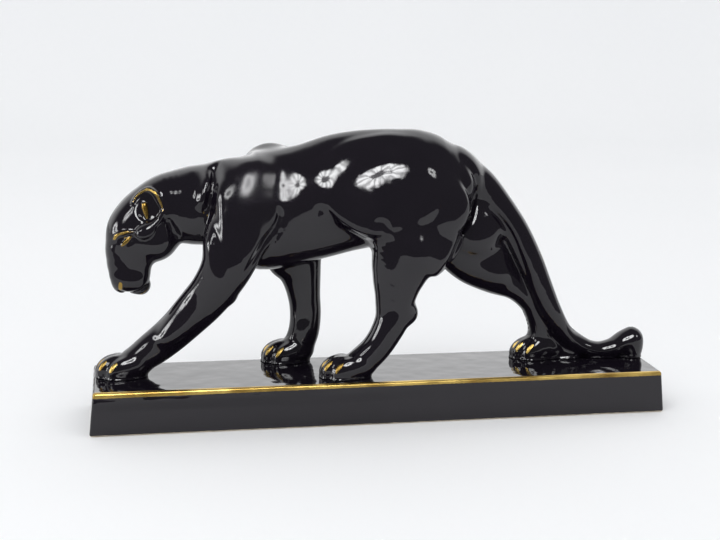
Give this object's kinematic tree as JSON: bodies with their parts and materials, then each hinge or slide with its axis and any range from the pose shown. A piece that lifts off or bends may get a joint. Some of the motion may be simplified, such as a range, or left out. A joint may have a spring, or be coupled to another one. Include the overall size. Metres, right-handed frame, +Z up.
{
  "type": "tv lamp",
  "caption": "Television lamp: a hollow black-glazed ceramic panther on a long plinth, lit from inside through its far flank.",
  "frame": {"origin": "middle of the felt's underside, where the lamp stands", "axes": "+X towards the tail, +Y towards the wall behind the lamp, +Z up"},
  "size_m": [0.5516, 0.109, 0.2734],
  "materials": {
    "black_glaze": "gloss",
    "fibreboard": "matte pressed board",
    "green_felt": "wool felt",
    "zinc_steel": "zinc plated",
    "brass": "satin",
    "nickel": "nickel plated",
    "solder": "dull solder",
    "black_glass": "gloss",
    "bakelite": "moulded",
    "porcelain": "gloss",
    "bulb_glass": "clear",
    "tungsten": "drawn wire",
    "rubber": "matte",
    "lead_sleeve": "sleeved"
  },
  "bodies": {
    "lamp": {"panther_figure": "black_glaze", "plinth": "black_glaze", "base_panel": "fibreboard", "base_felt": "green_felt", "holder_bracket": "zinc_steel", "bracket_screw_1": "brass", "bracket_screw_2": "brass", "bracket_nut_1": "brass", "bracket_nut_2": "brass", "holder_nipple": "brass", "holder_locknut": "brass", "holder_sleeve": "brass", "holder_contact": "brass", "terminal_screw_1": "brass", "terminal_screw_2": "brass", "terminal_screw_3": "brass", "terminal_screw_4": "brass", "switch_bush": "nickel", "switch_ring_nut": "nickel", "holder_cap": "bakelite", "holder_skirt": "bakelite", "switch_body": "bakelite", "holder_core": "porcelain", "terminal_block": "porcelain", "cord_grommet": "rubber", "bracket_washer_1": "rubber", "bracket_washer_2": "rubber", "lamp_lead_1": "lead_sleeve", "lamp_lead_2": "lead_sleeve", "switch_lead_1": "lead_sleeve", "switch_lead_2": "lead_sleeve"},
    "bulb": {"bulb_tip": "solder", "bulb_insulator": "black_glass", "bulb_cap": "nickel", "bulb_glass": "bulb_glass", "bulb_stem": "bulb_glass", "bulb_support_1": "nickel", "bulb_support_2": "nickel", "bulb_filament": "tungsten"},
    "switch_control": {"switch_shaft": "nickel", "switch_knob": "bakelite"}
  },
  "joints": [
    {"name": "bulb_turn", "type": "hinge", "parent": "lamp", "child": "bulb", "pos_m": [0, 0, 0.2145], "axis": [-1, 0, 0], "range_deg": [0, 1800]},
    {"name": "switch_turn", "type": "hinge", "parent": "lamp", "child": "switch_control", "pos_m": [0.095, 0.04699, 0.021], "axis": [0, 0.9988, 0.0492], "continuous": true}
  ]
}
